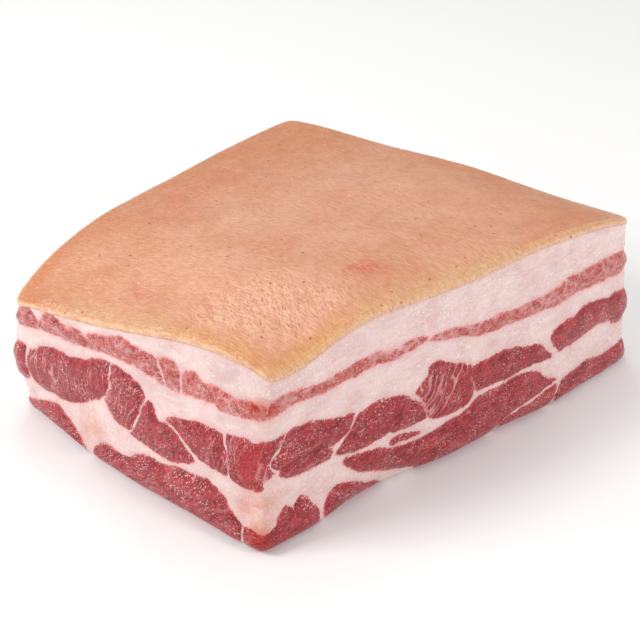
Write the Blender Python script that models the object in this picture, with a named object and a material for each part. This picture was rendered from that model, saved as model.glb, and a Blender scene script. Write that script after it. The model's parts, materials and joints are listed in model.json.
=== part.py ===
"""Pork belly slab: a raw, skin-on piece cut from the belly, lying flat with its skin up.

The slab is six natural layers of fat and lean meat. Each layer is a closed solid that runs right
through the slab, and the skin is the upper face of the fat cap. Every layer comes from one flat
triangulated grid, extruded into a box and then bent into place by the functions below.

Units are metres and +Z is up. The origin is the middle of the slab's box, on the surface that
the slab rests on. The front side faces -Y and the left side faces -X.
"""

import bmesh
import bpy
import numpy as np

MM = 0.001

# Plan corners of the slab in mm, measured from the front left corner of its base.
CORNERS = ("front_left", "front_right", "back_right", "back_left")
BASE_PLAN = {
    "front_left": (-2, -2.5),
    "front_right": (159.5, 2),
    "back_right": (121, 150),
    "back_left": (-23.5, 105),
}
TOP_PLAN = {
    "front_left": (6.5, 2.5),
    "front_right": (156.3, 6.5),
    "back_right": (115, 146),
    "back_left": (-23.8, 99.5),
}

# How far the middle of each cut side stands out past the line between its corners, in mm.
SIDE_BULGE = {"front": 1.5, "right": -1.0, "back": 4.0, "left": 3.0}

# Broad lumps and hollows of the cut sides: share of the side's length from its left or front
# end, share of the height, width as a share of the length, and how far it stands out in mm.
SIDE_LUMPS = {
    "front": [(0.25, 0.05, 0.13, -2.4), (0.46, 0.08, 0.08, 2.2), (0.66, 0.1, 0.12, 1.8),
              (0.95, 0.5, 0.1, 0.5)],
    "right": [(0.3, 0.6, 0.2, 1.0)],
    "back": [(0.7, 0.4, 0.2, -1.5)],
    "left": [(0.97, 0.5, 0.12, 2.4), (0.45, 0.1, 0.12, 1.0), (0.25, 0.1, 0.16, 0.9)],
}
LUMP_HEIGHT = 0.35  # width of every lump up the side, as a share of the height

# Corner sharpness: the power of the norm that rounds each corner. About 5 / radius in cm.
SHARPNESS = {"front_left": 110, "front_right": 19, "back_right": 26, "back_left": 26}

BASE_ROUND = 3.0  # radius of the edge round the base, in mm
SKIN_ROUND = 1.6  # radius of the edge round the skin, in mm
CROWN = 2.0  # rise of the skin in the middle of the slab, in mm
LEAN_SWELL = 0.5  # how far the cut face of a lean layer swells out, in mm
GAP = 0.3  # clearance between touching layers, in mm
LEAST_LAYER = 1.7  # thinnest that a layer gets, in mm

# The grid that all layers share, and how much closer its lines stand near the cut sides.
COLUMNS = 18
ROWS = 16
EDGE_CROWDING = 0.72

# Heights in mm of each layer's upper face along the cut sides, as (share of the side's length,
# height). Front and left start at the front left corner, right at the front right corner, and
# back at the back left one. Layers without heights for the two far sides give the height at the
# back right corner instead.
UPPER_FACES = {
    "fat_cap": {
        "front": [(0, 56), (0.06, 56.6), (0.12, 58.9), (0.17, 61.4), (0.22, 62.4), (0.34, 62),
                  (0.52, 61.5), (0.77, 60.2), (0.88, 58.2), (1, 53.6)],
        "left": [(0, 56), (0.06, 58.7), (0.14, 60), (0.24, 60), (0.35, 58.3), (0.5, 54.7),
                 (0.62, 51.4), (0.76, 49), (0.88, 47.2), (1, 43.7)],
        "back": [(0, 43.7), (0.1, 48.6), (0.22, 51.8), (0.5, 52.2), (0.75, 51.3), (1, 51.5)],
        "right": [(0, 53.6), (0.1, 53.2), (0.27, 53.3), (0.47, 54.6), (0.57, 54.2), (0.7, 52.9),
                  (0.85, 52.5), (1, 51.5)],
        "back_right": 51.5,
    },
    "upper_lean": {
        "front": [(0, 45.7), (0.08, 47.5), (0.2, 47.5), (0.33, 48), (0.51, 45.6), (0.61, 42.6),
                  (0.69, 43.1), (0.78, 44.9), (1, 43)],
        "left": [(0, 45.7), (0.13, 46.2), (0.24, 48.6), (0.36, 48.8), (0.5, 49.2),
                 (0.62, 44.3), (0.78, 44.8), (0.87, 42.2), (1, 38)],
        "back_right": 41,
    },
    "middle_fat": {
        "front": [(0, 42), (0.13, 42), (0.2, 43.3), (0.36, 44.8), (0.5, 40.3), (0.62, 38.3),
                  (0.8, 37.8), (1, 35)],
        "left": [(0, 42), (0.13, 41.2), (0.2, 41.6), (0.28, 40.2), (0.38, 42.2), (0.5, 43.5),
                 (0.63, 40.5), (0.8, 38.2), (1, 31)],
        "back_right": 35,
    },
    "main_lean": {
        "front": [(0, 34), (0.06, 37.2), (0.15, 35.1), (0.24, 34), (0.34, 28.8), (0.4, 35.4),
                  (0.5, 31), (0.64, 28.6), (0.71, 24.5), (0.78, 31.6), (0.9, 30), (1, 27)],
        "left": [(0, 34), (0.08, 34), (0.18, 35.2), (0.3, 31), (0.37, 30.5), (0.42, 37.6),
                 (0.49, 39.2), (0.62, 35.4), (0.76, 33.2), (0.9, 30.4), (1, 27)],
        "back_right": 28,
    },
    "lower_fat": {
        "front": [(0, 22), (0.1, 21), (0.16, 22.5), (0.25, 21), (0.34, 18.8), (0.45, 17.6),
                  (0.55, 19.2), (0.7, 16.9), (0.77, 20.6), (0.88, 20.8), (1, 16)],
        "left": [(0, 22), (0.06, 19.3), (0.14, 20.8), (0.22, 20), (0.3, 16.4), (0.42, 17),
                 (0.5, 20), (0.56, 25.5), (0.64, 20.6), (0.76, 16.4), (0.88, 18.5), (1, 20)],
        "back_right": 17,
    },
    "bottom_lean": {
        "front": [(0, 7.5), (0.06, 11), (0.13, 9), (0.2, 18), (0.28, 17.5), (0.37, 14.6),
                  (0.45, 15.6), (0.6, 16.8), (0.7, 13.6), (0.75, 5.5), (0.82, 7.5), (1, 4)],
        "left": [(0, 7.5), (0.07, 9.5), (0.14, 14.4), (0.24, 15.2), (0.35, 13.6), (0.47, 10),
                 (0.58, 7), (0.66, 3.5), (0.76, 10.5), (0.86, 8.6), (1, 5)],
        "back_right": 8,
    },
}
LAYERS = tuple(UPPER_FACES)
FAR_SIDE_LIKENESS = 0.7  # how strongly a far side repeats the waves of the side facing it

SIDE_ROWS = {"fat_cap": 4, "upper_lean": 1, "middle_fat": 1, "main_lean": 2, "lower_fat": 1,
             "bottom_lean": 3}

# Colour and roughness of each kind of layer. The fat cap shows mostly its skin.
FINISHES = {
    "skin": ((0.75, 0.41, 0.23, 1), 0.5),
    "fat": ((0.83, 0.66, 0.63, 1), 0.45),
    "lean": ((0.42, 0.07, 0.08, 1), 0.35),
}
FINISH_OF = {"fat_cap": "skin", "upper_lean": "lean", "middle_fat": "fat",
             "main_lean": "lean", "lower_fat": "fat", "bottom_lean": "lean"}


def smooth_curve(points, places):
    """Heights at the places, on a smooth curve that passes through the points."""
    x, y = np.array(points, float).T
    slope = np.gradient(y, x)
    i = np.clip(np.searchsorted(x, places, side="right") - 1, 0, len(x) - 2)
    width = x[i + 1] - x[i]
    t = (places - x[i]) / width
    start = (1 + 2 * t) * (1 - t) ** 2 * y[i] + t * (1 - t) ** 2 * width * slope[i]
    end = t**2 * (3 - 2 * t) * y[i + 1] - t**2 * (1 - t) * width * slope[i + 1]
    return start + end


def corner_weights(u, v):
    """Shares of the four plan corners at the place (u, v), each 0 to 1."""
    return {
        "front_left": (1 - u) * (1 - v),
        "front_right": u * (1 - v),
        "back_right": u * v,
        "back_left": (1 - u) * v,
    }


def far_side(near, start, end, places):
    """A far side's heights from start to end, with the near side's waves turned round."""
    first, last = near[0][1], near[-1][1]
    mirrored = smooth_curve(near, 1 - places)
    waves = mirrored - (last + (first - last) * places)
    return start + (end - start) * places + FAR_SIDE_LIKENESS * waves


def stretched_between_sides(face, u, v):
    """Height of a layer's upper face: a Coons patch hung on its heights along the four sides."""
    front, left, back_right = face["front"], face["left"], face["back_right"]
    heights = {
        "front_left": front[0][1],
        "front_right": front[-1][1],
        "back_right": back_right,
        "back_left": left[-1][1],
    }
    if "back" in face:
        back, right = smooth_curve(face["back"], u), smooth_curve(face["right"], v)
    else:
        back = far_side(front, heights["back_left"], back_right, u)
        right = far_side(left, heights["front_right"], back_right, v)
    across = (1 - v) * smooth_curve(front, u) + v * back
    along = (1 - u) * smooth_curve(left, v) + u * right
    weights = corner_weights(u, v)
    return across + along - sum(weights[name] * heights[name] for name in CORNERS)


def upper_face(layer, u, v):
    """Height in mm of a layer's upper face, kept clear of the layers below it."""
    height = np.zeros_like(u)
    for name in reversed(LAYERS):
        raw = stretched_between_sides(UPPER_FACES[name], u, v)
        if name == "fat_cap":
            raw = raw + CROWN * 16 * u * (1 - u) * v * (1 - v)
        height = np.maximum(raw, height + LEAST_LAYER)
        if name == layer:
            return height
    return height


def lower_face(layer, u, v):
    """Height in mm of a layer's lower face: the base, or the upper face of the layer below."""
    if layer == LAYERS[-1]:
        return np.zeros_like(u)
    return upper_face(LAYERS[LAYERS.index(layer) + 1], u, v) + GAP


def rounded(a, b):
    """Plan place (a, b), each -1 to 1, drawn in at the corners, and the way out from it."""
    weights = corner_weights((a + 1) / 2, (b + 1) / 2)
    power = sum(weights[name] * SHARPNESS[name] for name in CORNERS)
    ring = np.maximum(np.abs(a), np.abs(b))
    norm = (np.abs(a) ** power + np.abs(b) ** power) ** (1 / power)
    scale = np.where(norm > 0, ring / np.maximum(norm, 1e-9), 1)
    out_a = np.sign(a) * (np.abs(a) / np.maximum(norm, 1e-9)) ** (power - 1)
    out_b = np.sign(b) * (np.abs(b) / np.maximum(norm, 1e-9)) ** (power - 1)
    length = np.maximum(np.hypot(out_a, out_b), 1e-9)
    return a * scale, b * scale, out_a / length, out_b / length


def edge_inset(height, top):
    """How far the round edges at the base and at the skin draw the outline in, in mm."""
    below = np.clip(BASE_ROUND - height, 0, BASE_ROUND)
    above = np.clip(SKIN_ROUND - (top - height), 0, SKIN_ROUND)
    base = BASE_ROUND - np.sqrt(BASE_ROUND**2 - below**2)
    skin = SKIN_ROUND - np.sqrt(SKIN_ROUND**2 - above**2)
    return base + skin


def swell(a, b, out_a, out_b, share):
    """How far the cut sides stand out past straight planes, in mm, at a share of the height."""
    facing = {
        "front": (np.clip(-out_b, 0, 1), a),
        "right": (np.clip(out_a, 0, 1), b),
        "back": (np.clip(out_b, 0, 1), a),
        "left": (np.clip(-out_a, 0, 1), b),
    }
    turn = np.arctan2(b, a)
    out = 0.4 * np.sin(5 * turn + 3.1 * share) + 0.3 * np.sin(9 * turn + 1.3 - 4 * share)
    for side, (weight, along) in facing.items():
        out = out + weight * SIDE_BULGE[side] * (1 - along**2)
        for place, level, width, depth in SIDE_LUMPS[side]:
            away = ((along + 1) / 2 - place) ** 2 / width**2
            off_level = (share - level) ** 2 / LUMP_HEIGHT**2
            out = out + weight * depth * np.exp(-away - off_level)
    return out


def bent_into_place(layer, flat):
    """Points of the box grid, a and b from -1 to 1 and rise from 0 to 1, moved into the layer."""
    a, b, rise = flat.T
    crowd = EDGE_CROWDING
    a = (1 - crowd) * a + crowd * np.sin(a * np.pi / 2)
    b = (1 - crowd) * b + crowd * np.sin(b * np.pi / 2)
    u, v = (a + 1) / 2, (b + 1) / 2
    low, high = lower_face(layer, u, v), upper_face(layer, u, v)
    height = low + rise * (high - low)
    top = upper_face("fat_cap", u, v)
    share = height / top

    ring = np.maximum(np.abs(a), np.abs(b))
    a, b, out_a, out_b = rounded(a, b)
    weights = corner_weights((a + 1) / 2, (b + 1) / 2)
    base = sum(np.outer(weights[name], BASE_PLAN[name]) for name in CORNERS)
    skin = sum(np.outer(weights[name], TOP_PLAN[name]) for name in CORNERS)
    plan = base + (skin - base) * share[:, None]

    out = swell(a, b, out_a, out_b, share) - edge_inset(height, top)
    if layer.endswith("lean"):
        out = out + LEAN_SWELL * np.sin(np.pi * rise)
    out = out * ring**4
    return np.column_stack([plan[:, 0] + out * out_a, plan[:, 1] + out * out_b, height])


def box_grid(side_rows):
    """A box from -1 to 1 and 0 to 1, whose upper and lower faces have the same triangles."""
    box = bmesh.new()
    bmesh.ops.create_grid(box, x_segments=COLUMNS, y_segments=ROWS, size=1)
    bmesh.ops.triangulate(box, faces=box.faces[:])
    made = bmesh.ops.extrude_face_region(box, geom=box.faces[:])["geom"]
    lid = [item for item in made if isinstance(item, bmesh.types.BMVert)]
    bmesh.ops.translate(box, verts=lid, vec=(0, 0, 1))
    upright = [edge for edge in box.edges if abs(edge.verts[0].co.z - edge.verts[1].co.z) > 0.5]
    if side_rows > 1:
        bmesh.ops.subdivide_edges(box, edges=upright, cuts=side_rows - 1)
    bmesh.ops.recalc_face_normals(box, faces=box.faces[:])
    return box


def material(name, colour, roughness):
    made = bpy.data.materials.new(name)
    made.use_nodes = True
    shader = made.node_tree.nodes["Principled BSDF"]
    shader.inputs["Base Color"].default_value = colour
    shader.inputs["Roughness"].default_value = roughness
    shader.inputs["Metallic"].default_value = 0.0
    made.diffuse_color = colour
    return made


def add_layer(layer, finish, collection):
    """One layer of the slab as an object in mm places, from the shared grid."""
    box = box_grid(SIDE_ROWS[layer])
    mesh = bpy.data.meshes.new(layer)
    box.to_mesh(mesh)
    box.free()
    flat = np.empty(len(mesh.vertices) * 3)
    mesh.vertices.foreach_get("co", flat)
    places = bent_into_place(layer, flat.reshape(-1, 3))
    mesh.vertices.foreach_set("co", places.ravel())
    mesh.materials.append(finish)
    mesh.shade_smooth()
    mesh.set_sharp_from_angle(angle=np.radians(40))
    solid = bpy.data.objects.new(layer, mesh)
    collection.objects.link(solid)
    return solid


def centre_on_base(solids):
    """Turns mm into metres and moves the layers so that the origin is the base's middle."""
    corners = []
    for solid in solids:
        co = np.empty(len(solid.data.vertices) * 3)
        solid.data.vertices.foreach_get("co", co)
        co = co.reshape(-1, 3)
        corners += [co.min(axis=0), co.max(axis=0)]
    low, high = np.min(corners, axis=0), np.max(corners, axis=0)
    middle = np.array([(low[0] + high[0]) / 2, (low[1] + high[1]) / 2, low[2]])
    for solid in solids:
        co = np.empty(len(solid.data.vertices) * 3)
        solid.data.vertices.foreach_get("co", co)
        solid.data.vertices.foreach_set("co", ((co.reshape(-1, 3) - middle) * MM).ravel())
        solid.data.update()


def main():
    for old in list(bpy.data.objects):
        bpy.data.objects.remove(old)
    slab = bpy.data.collections.new("pork_belly_slab")
    bpy.context.scene.collection.children.link(slab)
    finishes = {name: material(name, *look) for name, look in FINISHES.items()}
    solids = [add_layer(name, finishes[FINISH_OF[name]], slab) for name in LAYERS]
    centre_on_base(solids)


main()
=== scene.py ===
"""Looks of the raw pork belly slab: its skin with stubble, and the fat and lean of its cut sides.

The slab's outline, its skin's height and its layers are read from the frame's solids. A ring runs
round the cut sides from the front left corner: S is the distance along it in mm, positive along
the front and negative back along the left side. Each muscle is a closed outline in S and height,
and a thin white seam lies where two muscles meet. What this gives at each vertex, such as the
depth into lean meat, is stored with the mesh, and the materials turn it into colour.

Lengths are in mm up to the point where a mesh is made, which is in metres.
"""

import json
import math

import bpy
import numpy as np
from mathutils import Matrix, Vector
from mathutils.bvhtree import BVHTree

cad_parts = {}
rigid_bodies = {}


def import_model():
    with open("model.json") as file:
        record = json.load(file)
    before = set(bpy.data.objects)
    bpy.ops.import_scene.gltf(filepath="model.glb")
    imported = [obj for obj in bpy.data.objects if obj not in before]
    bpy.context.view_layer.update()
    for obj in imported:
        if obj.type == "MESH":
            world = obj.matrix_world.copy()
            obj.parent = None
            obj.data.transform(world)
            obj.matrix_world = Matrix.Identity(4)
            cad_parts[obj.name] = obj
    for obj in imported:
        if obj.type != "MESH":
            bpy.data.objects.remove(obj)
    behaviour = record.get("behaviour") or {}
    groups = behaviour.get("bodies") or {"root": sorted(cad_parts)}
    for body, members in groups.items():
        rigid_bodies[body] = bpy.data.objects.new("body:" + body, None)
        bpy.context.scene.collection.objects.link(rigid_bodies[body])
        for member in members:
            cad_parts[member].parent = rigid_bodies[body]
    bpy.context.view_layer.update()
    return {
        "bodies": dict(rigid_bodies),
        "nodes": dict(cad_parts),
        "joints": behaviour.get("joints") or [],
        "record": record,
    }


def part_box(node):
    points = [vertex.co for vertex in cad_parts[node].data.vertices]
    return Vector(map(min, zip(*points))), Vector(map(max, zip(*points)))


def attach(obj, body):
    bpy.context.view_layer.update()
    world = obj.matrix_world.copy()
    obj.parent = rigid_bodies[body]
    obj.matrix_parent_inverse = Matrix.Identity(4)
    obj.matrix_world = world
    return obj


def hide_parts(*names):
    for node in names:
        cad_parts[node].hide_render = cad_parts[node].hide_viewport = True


MM = 0.001
SEED = 11

# ----- Sizes -----

RIND_THICK = 2.2  # thickness of the skin
RIND_ROUND = 1.3  # radius of the skin's upper edge
RIND_OVERHANG = 0.25  # how far the skin's cut edge stands out past the fat
BASE_ROUND = 3.0  # radius of the edge round the base
BASE_ROWS = 5  # rows of vertices on that edge
BASE_ROLL = 0.31  # height of one such row, rolled flat, as a share of the radius

FLESH_GRID = (200, 165)  # cells along the front and along a side
RIND_GRID = (290, 240)
SIDE_STEP = 0.7  # height of a row of cells on the cut sides
CAP_SCALES = (0.97, 0.92, 0.84, 0.7, 0.5, 0.25)  # rings of the hidden caps, from the rim inwards
CAP_LEAST = 40  # a cap's ring is halved while it has more points than this
CAP_GAP = 0.3  # how far the hidden top of the flesh lies below the skin

# Reading the frame
RAY_START, RAY_TOP = 0.5, 0.2  # where rays start, beside and above the slab, in metres
ANGLES = 1440  # directions in which the outline is read
LEVELS = 22  # heights at which it is read
CLEAR_LOW, CLEAR_HIGH = 3.6, 2.4  # left out below and above, where the edges are rounded
GAP_LIFTS = (-0.4, 0, 0.4)  # tried about each height, because of the gaps between solids
RIM_STEPS = ((0.88, 6.0), (0.95, 3.5))  # share of the radius with the skin's height, depth below
FINE_BLUR, BROAD_BLUR, EDGE_BLUR = 1.2, 11, 3  # in directions
CORNER_WIDTH = 0.08  # half width in radians of what stays sharp at a corner
SKIN_STEP, SKIN_REACH = 1.5, 108  # spacing and half size of the grid of skin heights
SKIN_SMOOTHING = 24  # rounds of smoothing over the skin's facets
SKIN_EDGE = 4  # width of the skin's rounded edge, which isn't read
SLOPE_RUN = 8  # length over which the slope beside it is measured
RING_SAMPLES, RING_HEIGHT = 4000, 25.0  # for measuring distances along a side

FRONT_LENGTH, LEFT_LENGTH = 159.5, 107  # lengths of the two near sides, as S counts them
BACK_JUMP = 60.0  # how far past half way round S jumps to negative values
JUMP_WIDTH = 1.2  # half width of the strip without fine relief at that jump
CORNER_S = 3.0  # S of the outline's farthest point, just past the front left corner
FEATURE_DROP = 0.6  # how far the muscles lie below their drawn height
BASE_EDGE_DROP = 1.2  # how far below 0 the drawn height is at the edge of the base
OUTLINE_REACH = 8.0  # distances to an outline are only found this near to it
ELSEWHERE = 20.0  # distance kept where it plays no part
HIDDEN_LENGTH = (20, 46)  # shortest and longest muscle on the two far sides
SPAN_STEP = 0.8  # spacing of the heights at which the lean layers are looked for there
END_GAP = 1.5  # from a far muscle's end to its first full height
BELOW_BASE = -9.0  # drawn height down to which muscles at the base go on under it

# Relief: (size, depth) pairs of noise, and the swelling of lean meat between sunken edges
OUTLINE_WAVES = ((6.0, 0.7), (1.8, 0.3))
FLESH_WAVES = ((14, 0.5), (6, 0.22), (2.6, 0.12), (1.3, 0.07))
SKIN_WAVES = ((22, 0.7), (9, 0.3), (4, 0.14))
SKIN_GRAIN = ((1.8, 0.07), (0.9, 0.035))
GOOSE_BUMPS = ((1.3, 0.12),)
LEAN_SWELL, EDGE_DIP = 0.75, 0.2
CORNER_REACH = 34  # how far the stubble and goose bumps spread from the front left corner

# Muscles that show on the front and left sides: (parity, grain angle, tone, outline), the outline
# a ring of (S, height) points that a smooth curve runs through. A thin seam shows where muscles of
# unlike parity touch. Tone 0 is the pale upper streak, 1 the deep red of the thick muscles.
# Outlines that go below 0 carry on over the underside.
UPPER_STREAK = (
    (1, 0, 0.14, (
        (1, 47), (5, 48.6), (12, 49), (22, 48.5), (30, 49), (40, 49.3), (50, 48.8), (58, 49),
        (63, 47.3), (59, 45.8), (50, 45.4), (40, 45), (30, 44.8), (20, 44.3), (10, 44.6),
        (1, 43.6))),
    (0, 0, 0.2, (
        (61, 46.6), (70, 47.4), (77, 46.6), (85, 45.2), (95, 43.8), (104, 43), (115, 44),
        (126, 45.4), (133, 46), (140, 45.4), (150, 45.4), (158, 44), (168, 43), (174, 39),
        (168, 36), (156, 36), (148, 37.2), (140, 38), (120, 38.3), (100, 38.4), (90, 39.2),
        (84, 40.2), (76, 42.6), (68, 44.6))),
    (0, 60, 0.12, (
        (1, 43.8), (0.8, 47), (-3, 47.8), (-6, 48), (-8.5, 46.8), (-8, 42.4), (-4, 42.6))),
    (0, 60, 0.15, (
        (-8.2, 42.3), (-8.8, 46.8), (-12, 47.8), (-16, 47.8), (-17.6, 47), (-17, 42.1), (-12, 42))),
    (0, 60, 0.18, (
        (-17.2, 42.1), (-18, 47.2), (-21, 47.6), (-24, 49.4), (-27.5, 49.2), (-29.6, 46),
        (-29.5, 40.9), (-24, 41.8))),
    (1, 70, 0.22, (
        (-29.7, 41), (-30, 47), (-32, 49.8), (-36, 49.8), (-39, 49), (-37.5, 45), (-36, 41.6),
        (-33, 40.9))),
    (0, 20, 0.28, (
        (-36.4, 41.7), (-38.4, 46), (-39.7, 49.2), (-46, 49.5), (-51, 50), (-56, 49.8),
        (-61, 47.6), (-66, 46), (-70, 43.8), (-69, 40), (-62, 41), (-55, 42.2), (-48, 43),
        (-42, 42.2))),
    (0, 20, 0.32, (
        (-69.6, 40), (-71.4, 43.6), (-76, 45), (-80, 44.6), (-84, 46.6), (-87.4, 46), (-91, 41.4),
        (-90.4, 38), (-84, 38.6), (-76, 39.2))),
    (0, 40, 0.35, (
        (-91.2, 38), (-92.4, 40.8), (-97, 45.2), (-100, 44.4), (-104, 42), (-110, 39.5),
        (-118, 38.5), (-118, 34), (-108, 35), (-98, 36.4))),
)
MAIN_FRONT = (
    (0, 75, 0.92, (
        (7.6, 37.2), (4, 36.8), (0, 36.2), (-3, 34.6), (-6, 35.2), (-10, 34.9), (-12.6, 33.4),
        (-12, 28), (-11, 22), (-8, 20.4), (-4, 20.3), (-1, 21), (0.5, 24), (3, 25.5), (3.6, 27.5),
        (1.8, 29.8), (4.5, 33.4))),
    (1, 15, 0.85, (
        (8.6, 37.2), (12, 37.5), (17, 37), (23, 36), (29, 34.8), (33.6, 34), (32.5, 31), (30, 28),
        (27, 26.7), (20, 26.6), (12, 27), (6, 27.4), (3.6, 28), (2.4, 29.8), (5, 33.2))),
    (1, 15, 0.9, (
        (6, 28), (12, 27.8), (20, 27.4), (25, 25), (23.5, 22.4), (18, 21.4), (12, 22), (7, 23.4),
        (5, 25.2))),
    (0, 30, 0.82, (
        (26, 23), (28, 25), (31, 28.4), (33, 31.5), (36, 33.4), (42, 33.6), (48, 33.2),
        (53, 31.2), (56, 28.9), (52, 27.6), (48.5, 25.4), (46.5, 23), (46, 20.8), (40, 20.4),
        (34, 20.2), (29, 21))),
    (0, 10, 0.95, (
        (45.8, 22), (46.4, 23.7), (48.6, 26.2), (52, 28.1), (56.6, 28.4), (60, 26.6), (61.6, 23),
        (62, 20), (56, 19.6), (50, 20))),
    (0, 60, 0.95, (
        (57.6, 31), (59.5, 32.8), (62, 34), (62.6, 36.6), (64.5, 37.6), (68, 37.2), (73, 35.4),
        (78, 32.8), (80.6, 31.7), (79.4, 28), (80.6, 24), (80, 20), (75, 18.3), (70, 18),
        (65, 18.6), (62.5, 20.4), (62, 23.5), (60.4, 27), (58, 29.4))),
    (0, 5, 0.78, (
        (80.6, 31.5), (87, 31.3), (94, 31), (100, 30.6), (106, 29.4), (111, 27.6), (114, 25.2),
        (117.5, 21), (117, 20), (111, 20.3), (104, 21), (96, 20.8), (88, 21), (82.5, 21.4),
        (81.2, 24.4), (79.8, 28))),
    (0, 0, 0.66, (
        (116.5, 27.6), (120, 29.4), (126, 30.6), (131, 30), (136, 31.6), (141, 31.4), (147, 30.2),
        (152, 30.6), (158, 28.6), (168, 27.5), (175, 25), (172, 19), (160, 18), (153, 18.4),
        (149, 20.4), (142, 21.6), (134, 20.8), (127, 20.2), (121.5, 20.8), (118, 24))),
)
MAIN_LEFT = (
    (1, 75, 0.9, (
        (-12.9, 33.6), (-16, 34.8), (-21, 35), (-26, 34.2), (-31, 32.6), (-35.5, 30), (-32, 29),
        (-28, 26.8), (-24, 24), (-20, 22.6), (-15, 22), (-11.5, 22), (-12.2, 28))),
    (0, 60, 0.85, (
        (-24, 22), (-27, 24.4), (-31, 27.4), (-35.5, 29), (-39.3, 29), (-40.5, 32), (-43, 33.4),
        (-45, 31), (-47.5, 26.4), (-50, 20.6), (-50, 18.4), (-42, 17.6), (-34, 17), (-28, 18.6),
        (-25, 20.4))),
    (1, 62, 0.92, (
        (-44, 33.6), (-45.8, 36.8), (-50, 39), (-55, 39.6), (-58.7, 39), (-59.3, 33), (-61.3, 28),
        (-62, 24.6), (-59, 20.4), (-55, 19.6), (-51, 20), (-50.3, 21), (-48, 26.6), (-45.5, 31.4))),
    (0, 85, 0.95, (
        (-58.9, 39), (-64, 38.2), (-70, 36.2), (-76, 34.4), (-83, 33.8), (-90, 32.4), (-95, 29.8),
        (-98, 26.8), (-100, 21.6), (-99.6, 17), (-95, 14.6), (-89, 14.2), (-82, 15.8), (-76, 18),
        (-70, 21.6), (-65, 24.4), (-62.6, 26.4), (-61.6, 28.4), (-59.5, 33))),
    (1, 80, 0.95, (
        (-98.6, 30), (-103, 29.6), (-109, 27), (-118, 24), (-122, 19), (-118, 13), (-110, 11.6),
        (-105, 14), (-101, 17), (-100.8, 21.6), (-99, 27))),
)
BOTTOM_LEAN = (
    (0, 12, 0.78, (
        (29, 19), (33, 19.2), (38, 18.4), (43, 17.2), (47, 14.9), (53, 14.2), (60, 13.4),
        (65, 14), (70, 15.6), (77, 17), (83, 18.8), (90, 19), (98, 20), (105, 19.2), (111, 16.4),
        (116, 12.4), (119.5, 9.8), (113, 9.6), (105, 8.4), (98, 7), (92, 4), (88, -2), (84, -9),
        (64, -9), (58, 2.6), (50, 5.8), (43, 8.2), (37, 11.2), (32, 14.6), (29.2, 17.4))),
    (1, 5, 0.62, (
        (98, 6.8), (106, 8.2), (113, 9.3), (119, 9.4), (118.5, 5), (114, -2), (110, -9), (94, -9),
        (93, 2))),
    (1, 5, 0.75, (
        (47.5, 17), (49, 18.6), (53, 18.2), (57, 16.8), (60.5, 15.6), (57, 15.2), (52, 15.6),
        (48.5, 15.6))),
    (0, 0, 0.62, (
        (119.5, 6.6), (122.5, 8.8), (129, 9.6), (137, 10.2), (143, 9), (150, 8.6), (158, 9),
        (168, 8.6), (172, 2), (170, -9), (124, -9), (118.5, 2))),
    (0, 10, 0.72, (
        (-6.2, 7.6), (-3, 8), (0, 7.6), (3.5, 8), (5, 11.4), (7, 13.6), (9, 12.2), (10.5, 11),
        (12.5, 13.8), (15, 13.2), (17, 10.4), (19.5, 6.8), (20, 1), (18, -9), (-7, -9), (-6.6, 1))),
    (1, 10, 0.7, (
        (22.5, 7), (25, 10.4), (28, 11), (32, 10), (37, 6.8), (42, 4.4), (46, 0), (44, -9),
        (26, -9), (22, 1))),
    (1, 35, 0.88, (
        (-6.6, 7.8), (-10, 11), (-14.5, 15.6), (-20, 17.4), (-26, 16.8), (-31, 16.2), (-36, 15),
        (-42, 14.8), (-47, 13), (-51, 10.4), (-56, 9.4), (-61, 9.4), (-65, 8), (-68.5, 3),
        (-68, -9), (-7.4, -9), (-7, 1))),
    (0, 20, 0.85, (
        (-72, 1.6), (-77, 6), (-82, 9.6), (-87, 11.2), (-92, 9.8), (-99, 7.4), (-106, 4.6),
        (-114, 3), (-122, 1), (-122, -9), (-76, -9))),
)
# Stains on the cut sides: (S, height, half length, half width, turn in degrees, strength).
RED_STAINS = (
    (-4.5, 27, 4.5, 9, 0, 1.0),
    (1, 33, 3, 4, 0, 0.5),
    (-1, 3, 3, 5, 0, 0.8),
    (-72, 13, 12, 8, 0, 0.3),
    (-30, 19, 14, 3, 0, 0.16),
)
WARM_STAINS = (
    (0, 45.4, 5, 3.5, 0, 1.0),
    (-3, 13, 7, 6, 0, 0.8),
    (0, 3, 4, 5, 0, 1.0),
    (-70, 11, 9, 8, 0, 0.6),
    (3, 19, 6, 4, 0, 0.35),
    (-86, 19, 14, 4, 0, 0.3),
)
# Marks on the skin: plan x, y, half length, half width, turn in degrees, strength.
BLUSH = (
    (-14, -53, 6.5, 3.2, -25, 1.0),
    (-66, -13, 2.5, 7, 0, 0.45),
    (51, -58, 9, 4, 0, 0.3),
    (12, -52, 5, 3, 0, 0.25),
    (-28, 30, 16, 6, 50, 0.35),
    (-8, 38, 10, 7, 30, 0.3),
    (-32, 16, 10, 8, 0, 0.25),
    (-48, 33, 5, 4, 0, 0.3),
    (-25, -28, 9, 6, 10, 0.25),
    (10, -10, 14, 7, 20, 0.2),
)

# ----- Noise -----


def lattice_value(cells, seed):
    """A repeatable random number from -1 to 1 for each whole-numbered place."""
    n = cells.astype(np.int64)
    mixed = n[:, 0] * 73856093 ^ n[:, 1] * 19349663 ^ n[:, 2] * 83492791 ^ (seed * 2654435761)
    mixed = (mixed ^ (mixed >> 13)) * 1274126177 & 0xFFFFFFFF
    mixed = (mixed ^ (mixed >> 16)) * 2246822519 & 0xFFFFFFFF
    return (mixed >> 8 & 0xFFFF) / 32767.5 - 1.0


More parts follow.
